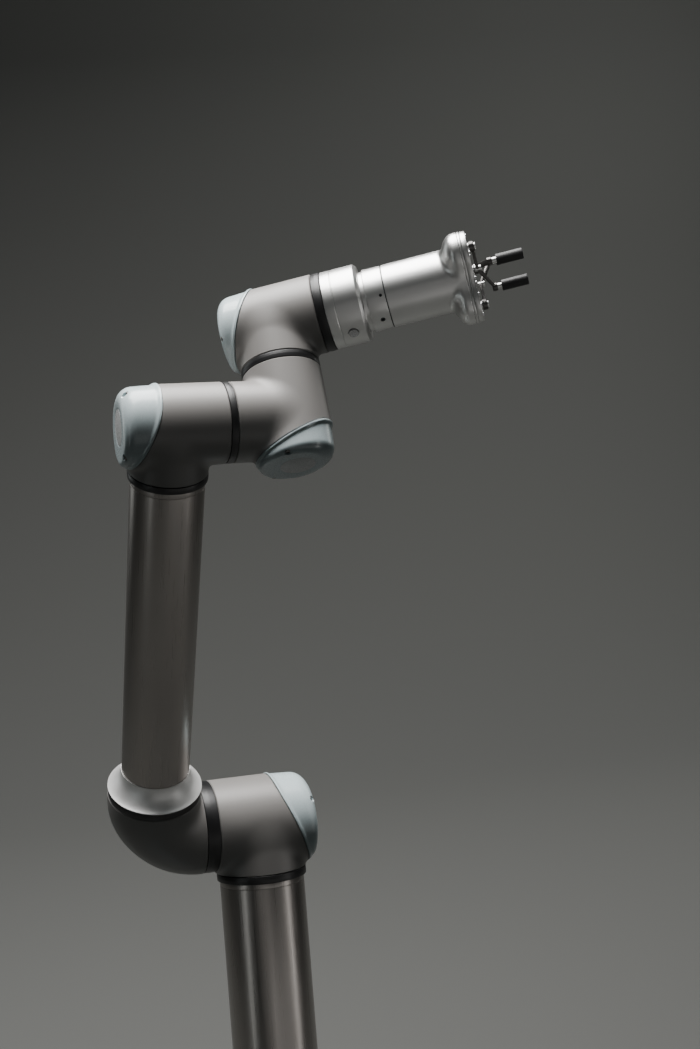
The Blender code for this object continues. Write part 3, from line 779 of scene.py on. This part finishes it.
def base():
    high = BASE.span("base_flange")[1]
    size = BASE.radius("base_flange")
    body = BASE.radius("pan_seal")
    thick = 0.012
    corners = [
        (0, 0, 0),
        (size, 0, 0.0008),
        (size, thick, 0.0018),
        (body + 0.007, thick, 0.004),
        (body, thick + 0.012, 0.004),
        (body, high, CHAMFER),
        (body - 0.006, high, 0),
        (body - 0.006, high - 0.006, 0),
        (0, high - 0.006, 0),
    ]
    foot = turned("base_foot", corners, BASE, "base", "housing_metal", ["base_flange"], closed=False)
    holes = []
    for index in range(4):
        angle = math.radians(45 + 90 * index)
        centre = (BOLT_CIRCLE * math.cos(angle), BOLT_CIRCLE * math.sin(angle))
        profile = [(0, -0.005), (BOLT_HOLE, -0.005), (BOLT_HOLE, 0.0075)]
        profile += [(COUNTERBORE, 0.0075), (COUNTERBORE, 0.03), (0, 0.03)]
        holes.append(lathe("hole", profile, 32, centre, False))
    cut_holes(foot, [joined("holes", holes)])
    low, high = GLAND.span("cable_gland")
    nut = 0.016
    corners = [
        (0.006, low, 0),
        (0.006, high, 0.0008),
        (0.0105, high, 0.0012),
        (0.014, high - 0.005, 0.001),
        (0.014, low + 0.0105, 0.0005),
        (nut - 0.001, low + 0.0102, 0.0008),
        (nut - 0.001, low, 0),
    ]
    turned("cable_gland_body", corners, GLAND, "base", "dark_metal", ["cable_gland"], sides=48)


# ---------------------------------------------------------------- tool flange and gripper


def tool_flange():
    low = TOOL.span("wrist_3_seal")[1] + GAP
    face = TOOL.span("tool_flange")[1]
    size = TOOL.radius("tool_flange")
    band = face - NECK_BAND
    corners = [
        (0.008, low, 0),
        (0.008, face, 0),
        (NECK_RADIUS, face, 0.0005),
        (NECK_RADIUS, band, 0.0012),
        (size - 0.0035, band, 0.0006),
        (size - 0.0004, band - 0.0032, 0.0008),
        (size - 0.0004, low + 0.0125, 0),
        (size - 0.0008, low + 0.0120, 0),
        (size - 0.0008, low + 0.0114, 0),
        (size - 0.0004, low + 0.0109, 0),
        (size - 0.0004, low, 0.0010),
    ]
    flange = turned("tool_flange_body", corners, TOOL, "tool", "bright_metal", ["tool_flange"], sides=160)
    socket = TOOL.local("tool_connector")
    middle = (socket.min(axis=0) + socket.max(axis=0)) / 2
    turn = math.atan2(middle[1], middle[0])
    across = Matrix.Rotation(turn, 4, "Z") @ Matrix.Translation((0, 0, middle[2]))
    across = across @ Matrix.Rotation(math.radians(90), 4, "Y")
    inner = float(np.hypot(middle[0], middle[1])) - 0.003
    hole = lathe("hole", [(0, inner), (0.0062, inner), (0.0062, 0.06), (0, 0.06)], 40, closed=False)
    hole.transform(across)
    cut_holes(flange, [hole])
    collar_profile = [
        (0.0040, inner, 0),
        (0.0040, size - 0.0006, 0.0003),
        (0.0054, size - 0.0006, 0.0005),
        (0.0054, inner, 0),
    ]
    ring = lathe("ring", rounded(collar_profile), 40)
    ring.transform(across)
    add_mesh("connector_collar", ring, TOOL, "tool", "steel")


def lobed(points, size, blend, radius_of_lobe, solid):
    """Distance to a round core with three blended lobes. solid gives each lobe's distance."""
    result = np.hypot(points[:, 0], points[:, 1]) - size
    for degrees in LOBE_ANGLES:
        shifted = points - np.array([*around(LOBE_CIRCLE, degrees), 0])
        result = smooth_union(result, solid(shifted) - radius_of_lobe, blend)
    return result


def gripper_case():
    low, high = TOOL.span("gripper_body")
    size = TOOL.radius("gripper_adapter")

    def lobe(points):
        back = np.minimum(points[:, 2] - high + LOBE_WALL, 0) * (LOBE_RADIUS / LOBE_DEPTH)
        return np.sqrt(points[:, 0] ** 2 + points[:, 1] ** 2 + back**2)

    rough = bmesh.new()
    bar(rough, size, low - 0.015, high + 0.015)
    for degrees in LOBE_ANGLES:
        centre = around(LOBE_CIRCLE, degrees)
        bar(rough, LOBE_RADIUS, high - LOBE_WALL - 0.001, high + 0.015, centre=centre)
        made = bmesh.ops.create_uvsphere(rough, u_segments=48, v_segments=24, radius=LOBE_RADIUS)["verts"]
        bmesh.ops.scale(rough, verts=made, vec=(1, 1, LOBE_DEPTH / LOBE_RADIUS))
        bmesh.ops.translate(rough, verts=made, vec=(*centre, high - LOBE_WALL))
    rims = [
        ((0, 0, low + 0.0008), (0, 0, -1), 0.0004, RIM_WIDTH),
        ((0, 0, high), (0, 0, 1), 0.0004, 0.002),
    ]

    def distance(points):
        return lobed(points, size, LOBE_BLEND, LOBE_RADIUS, lobe)

    mesh = casting("gripper_case", rough, 0.0014, distance, rims)
    add_mesh("gripper_case", mesh, TOOL, "tool", "bright_metal", ["gripper_body"])


def head_plate(node, edge):
    """A lobed plate with rounded edges, closed on both sides."""
    low, high = TOOL.span(node)
    inset = LOBE_CIRCLE + LOBE_RADIUS - TOOL.radius(node)
    sides = 240
    turns = np.linspace(0, 2 * math.pi, sides, endpoint=False)
    way = np.stack([np.cos(turns), np.sin(turns), np.zeros(sides)], axis=1)
    near = np.full(sides, 0.02)
    far = np.full(sides, 0.07)
    for _ in range(30):
        middle = (near + far) / 2
        points = way * middle[:, None]
        outside = lobed(points, HEAD_CORE, LOBE_BLEND, LOBE_RADIUS, lambda p: np.hypot(p[:, 0], p[:, 1])) > 0
        far = np.where(outside, middle, far)
        near = np.where(outside, near, middle)
    bm = bmesh.new()
    rings = []
    levels = [(edge, low), (0.3 * edge, low + 0.3 * edge), (0, low + edge)]
    levels += [(0, high - edge), (0.3 * edge, high - 0.3 * edge), (edge, high)]
    for back, height in levels:
        outline = way * (near - max(inset, 0) - back)[:, None]
        rings.append([bm.verts.new((x, y, height)) for x, y, _ in outline])
    for one, other in zip(rings, rings[1:]):
        for index in range(sides):
            after = (index + 1) % sides
            bm.faces.new((one[index], one[after], other[after], other[index]))
    bm.faces.new(rings[0])
    bm.faces.new(rings[-1])
    add_mesh(node + "_cover", mesh_from(node, bm), TOOL, "tool", "bright_metal", [node])


def adapter():
    low, high = TOOL.span("gripper_adapter")
    size = TOOL.radius("gripper_adapter")
    corners = [
        (0.020, low, 0),
        (0.020, high, 0),
        (size - 0.0002, high, 0.0004),
        (size, low - ADAPTER_LIP, 0.0010),
        (0.0338, low - ADAPTER_LIP, 0),
        (0.0338, low, 0),
    ]
    made = turned("adapter_ring", corners, TOOL, "tool", "bright_metal", ["gripper_adapter"], sides=160)
    holes = []
    hole_shades = []
    # Each hole gets a near-black disc a little inside it: painted shade where the hole's bottom lies in
    # shadow.
    for degrees, along, radius in ADAPTER_HOLES:
        turn = Matrix.Rotation(math.radians(degrees), 4, "Z") @ Matrix.Translation((0, 0, low + along))
        turn = turn @ Matrix.Rotation(math.radians(90), 4, "Y")
        for kept, inner, outer in ((holes, 0.030, 0.05), (hole_shades, 0.0298, 0.0335)):
            edge = radius if kept is holes else radius - 0.0001
            mesh = lathe("hole", [(0, inner), (edge, inner), (edge, outer), (0, outer)], 24, closed=False)
            mesh.transform(turn)
            kept.append(mesh)
    cut_holes(made, holes)
    add_mesh("adapter_hole_shade", joined("hole_shades", hole_shades), TOOL, "tool", "shadow_gap")
    # A thin near-black band at the adapter's top face: painted shadow in the seam's gap.
    band = [(size - 0.006, high, 0), (size - 0.006, high + 0.0009, 0)]
    band += [(size - 0.0004, high + 0.0009, 0), (size - 0.0004, high, 0)]
    turned("adapter_seam", band, TOOL, "tool", "shadow_gap", sides=160)


def plate_screws():
    face = TOOL.span("gripper_front_plate")[1]
    heads = []
    for degrees in LOBE_ANGLES:
        spots = [around(0.0285, degrees + 60)]
        spots += [around(0.0455, degrees - 20), around(0.0455, degrees + 20)]
        heads += [screw_head(0.0021, face - 0.001, face + 0.0012, spot) for spot in spots]
    add_mesh("front_plate_screws", joined("screws", heads), TOOL, "tool", "steel")


def crank_bar(name, path, width, thickness):
    """A flat bar with rounded edges along a path that stays in one upright plane."""
    bm = bmesh.new()
    points = [Vector(point) for point in path]
    side = (points[-1] - points[0]).cross(Z_AXIS).normalized()
    loops = []
    for index, point in enumerate(points):
        ahead = points[min(index + 1, len(points) - 1)] - points[max(index - 1, 0)]
        ahead.normalize()
        up = side.cross(ahead)
        loop = []
        for corner in range(16):
            turn = 2 * math.pi * (corner + 0.5) / 16
            x = math.copysign(abs(math.cos(turn)) ** 0.45, math.cos(turn)) * width / 2
            y = math.copysign(abs(math.sin(turn)) ** 0.45, math.sin(turn)) * thickness / 2
            loop.append(bm.verts.new(point + side * x + up * y))
        loops.append(loop)
    for one, other in zip(loops, loops[1:]):
        for index in range(16):
            after = (index + 1) % 16
            bm.faces.new((one[index], one[after], other[after], other[index]))
    bm.faces.new(loops[0])
    bm.faces.new(loops[-1])
    return mesh_from(name, bm)


def finger(letter):
    body = "finger_" + letter
    crank = body + "_crank"
    hub = joint_point(body + "_joint")
    out = hub - WRIST_3
    place = Place(hub, TOOL_DRIVE, out)
    circle = float(np.hypot(*place.local(body + "_pad").mean(axis=0)[:2]))
    tip = Vector((*place.local(body + "_pad").mean(axis=0)[:2], 0))
    pad_low, pad_high = place.span(body + "_pad")
    way = tip.normalized()
    bend = 0.5 * circle
    path = [way * (circle * -0.02) + Z_AXIS * CRANK_LOW]
    for step in range(9):
        at = bend - 0.006 + 0.012 * step / 8
        lift = (CRANK_HIGH - CRANK_LOW) / (circle - bend)
        ease = (at - bend + 0.006) ** 2 / 0.024 * lift
        path.append(way * at + Z_AXIS * (CRANK_LOW + ease))
    path.append(way * circle + Z_AXIS * CRANK_HIGH)
    mesh = crank_bar("crank", path, CRANK_WIDTH, CRANK_THICKNESS)
    eye_low, eye_high = CRANK_HIGH - 0.0036, CRANK_HIGH + 0.0022
    eye = [(0, eye_low, 0), (0.0046, eye_low, 0.0008), (0.0046, eye_high, 0.0008), (0, eye_high, 0)]
    knuckle = [(0, 0.0014, 0), (0.0060, 0.0014, 0.0006), (0.0060, 0.0072, 0.0010), (0, 0.0072, 0)]
    parts = [mesh, lathe("eye", rounded(eye), 40, (tip.x, tip.y), False)]
    parts.append(lathe("knuckle", rounded(knuckle), 40, closed=False))
    add_mesh(crank + "_arm", joined("crank", parts), place, body, "dark_metal", [crank])
    lock = [(0, 0.0070, 0), (0.0040, 0.0070, 0), (0.0040, LOCK_TOP, 0.0007), (0, LOCK_TOP, 0)]
    washer = [(0, 0.0002, 0), (0.0050, 0.0002, 0.0003), (0.0050, 0.0015, 0.0003), (0, 0.0015, 0)]
    stub_low = CRANK_HIGH + 0.002
    stub = [(0, stub_low, 0), (0.0036, stub_low, 0), (0.0036, pad_low, 0), (0, pad_low, 0)]
    bright = [lathe("lock", rounded(lock), 40, closed=False)]
    bright.append(lathe("washer", rounded(washer), 40, closed=False))
    bright.append(lathe("stub", rounded(stub), 40, (tip.x, tip.y), False))
    pin = way * bend
    boss = [(0, 0.0020, 0), (0.0034, 0.0020, 0.0003), (0.0034, 0.0098, 0.0006), (0, 0.0098, 0)]
    bright.append(lathe("boss", rounded(boss), 32, (pin.x, pin.y), False))
    add_mesh(crank + "_fittings", joined("fittings", bright), place, body, "bright_metal")
    pad = [
        (0, pad_low, 0),
        (PAD_RADIUS, pad_low, 0.0006),
        (PAD_RADIUS, pad_high, 0.0009),
        (0, pad_high, 0),
    ]
    mesh = lathe("pad", rounded(pad), 64, (tip.x, tip.y), False)
    add_mesh(body + "_pad_sleeve", mesh, place, body, "pad_rubber", [body + "_pad"])


def finish_inner_nodes():
    """The pieces that stay as the frame has them get their materials."""
    slots = {row["node"]: row["material_slot"] for row in frame["record"]["subparts"]}
    for name, obj in frame["nodes"].items():
        obj.data.materials.clear()
        obj.data.materials.append(MATERIALS[slots[name]])


# ---------------------------------------------------------------- stage


def area_light(name, size, power, location, target, colour=(1, 1, 1), diffuse=True):
    """A soft panel facing the target. With diffuse False it only shows in shiny surfaces."""
    light = bpy.data.lights.new(name, "AREA")
    light.shape = "RECTANGLE"
    light.size, light.size_y = size
    light.energy = power
    light.color = colour
    obj = bpy.data.objects.new(name, light)
    bpy.context.scene.collection.objects.link(obj)
    obj.location = location
    obj.rotation_euler = (Vector(target) - Vector(location)).to_track_quat("-Z", "Y").to_euler()
    obj.visible_diffuse = diffuse


def stage():
    """A mid-grey sweep: flat floor, a wide curve, then a wall behind the arm."""
    bm = bmesh.new()
    outline = [(-6.0, 0.0), (2.0, 0.0)]
    outline += [
        (2.0 + 1.5 * math.sin(math.radians(a)), 1.5 - 1.5 * math.cos(math.radians(a)))
        for a in range(6, 91, 6)
    ]
    outline.append((3.5, 6.0))
    rows = [[bm.verts.new((x, y, z)) for y, z in outline] for x in (-7.0, 7.0)]
    for index in range(len(outline) - 1):
        bm.faces.new((rows[0][index], rows[1][index], rows[1][index + 1], rows[0][index + 1]))
    mesh = mesh_from("sweep", bm)
    mesh.shade_smooth()
    sweep = bpy.data.objects.new("sweep", mesh)
    sweep.location = (0, 0, -0.0005)
    bpy.context.scene.collection.objects.link(sweep)
    mat, _, _, shader = new_material("sweep_paper")
    shader.inputs["Base Color"].default_value = (0.165, 0.168, 0.161, 1)
    shader.inputs["Roughness"].default_value = 0.9
    mesh.materials.append(mat)
    sweep.visible_diffuse = False

    world = bpy.data.worlds.new("studio")
    world.use_nodes = True
    background = world.node_tree.nodes["Background"]
    background.inputs["Color"].default_value = (0.9, 1.0, 0.98, 1)
    background.inputs["Strength"].default_value = 0.022
    bpy.context.scene.world = world

    middle = (0.2, 0.0, 1.1)
    area_light("key_above", (1.3, 1.1), 84, (0.05, 0.40, 2.75), middle, (1, 0.985, 0.97))
    area_light("wall_light", (1.6, 1.6), 20, (2.6, 1.3, 2.0), (1.0, 3.5, 1.0), (1, 1, 0.97))
    area_light("back_edge", (0.8, 1.8), 5, (-1.4, 1.7, 1.6), middle, (0.95, 1, 0.99))
    area_light("overhead_panel", (3.2, 3.0), 22, (0.2, 0.3, 3.3), middle, (0.97, 1, 1), diffuse=False)
    area_light("front_panel", (2.0, 2.6), 3.2, (-0.7, -3.2, 1.1), middle, (1, 0.98, 0.96), diffuse=False)
    area_light("left_strip", (0.25, 2.2), 3.0, (-2.0, -0.9, 1.0), middle, (0.95, 1, 1), diffuse=False)
    area_light("right_strip", (0.35, 2.2), 5.0, (2.0, -1.2, 1.0), middle, (1, 0.98, 0.96), diffuse=False)
    area_light("low_panel", (2.4, 1.4), 4.0, (0.8, -1.7, 0.25), (0.3, 0, 1.4), (1, 0.98, 0.96), diffuse=False)


def camera():
    data = bpy.data.cameras.new("camera")
    data.lens = 50.67
    data.sensor_width = 36
    data.sensor_fit = "AUTO"
    cam = bpy.data.objects.new("camera", data)
    bpy.context.scene.collection.objects.link(cam)
    cam.location = (-0.2786, -1.5817, 1.5439)
    forward = Vector((0.31026, 0.92780, -0.20719))
    cam.rotation_euler = forward.to_track_quat("-Z", "Y").to_euler()
    bpy.context.scene.camera = cam


camera()
stage()
finish_inner_nodes()
base()
for joint_name in PLACES:
    t_housing(joint_name)
    cap(joint_name)
    seal(joint_name + "_seal", PLACES[joint_name], CARRIERS[joint_name])
seal("upper_arm_foot_seal", UPPER_ARM, "upper_arm")
seal("upper_arm_head_seal", UPPER_ARM, "upper_arm")
seal("forearm_foot_seal", FOREARM, "forearm")
seal("forearm_head_seal", FOREARM, "forearm")
tube("upper_arm_tube", UPPER_ARM, "upper_arm")
tube("forearm_tube", FOREARM, "forearm")
collar("upper_arm_collar", "upper_arm_tube", UPPER_ARM, "upper_arm")
collar("forearm_collar", "forearm_tube", FOREARM, "forearm")
bend()
tool_flange()
adapter()
gripper_case()
head_plate("gripper_spacer", 0.0004)
head_plate("gripper_front_plate", 0.0008)
plate_screws()
for finger_letter in ("a", "b", "c"):
    finger(finger_letter)
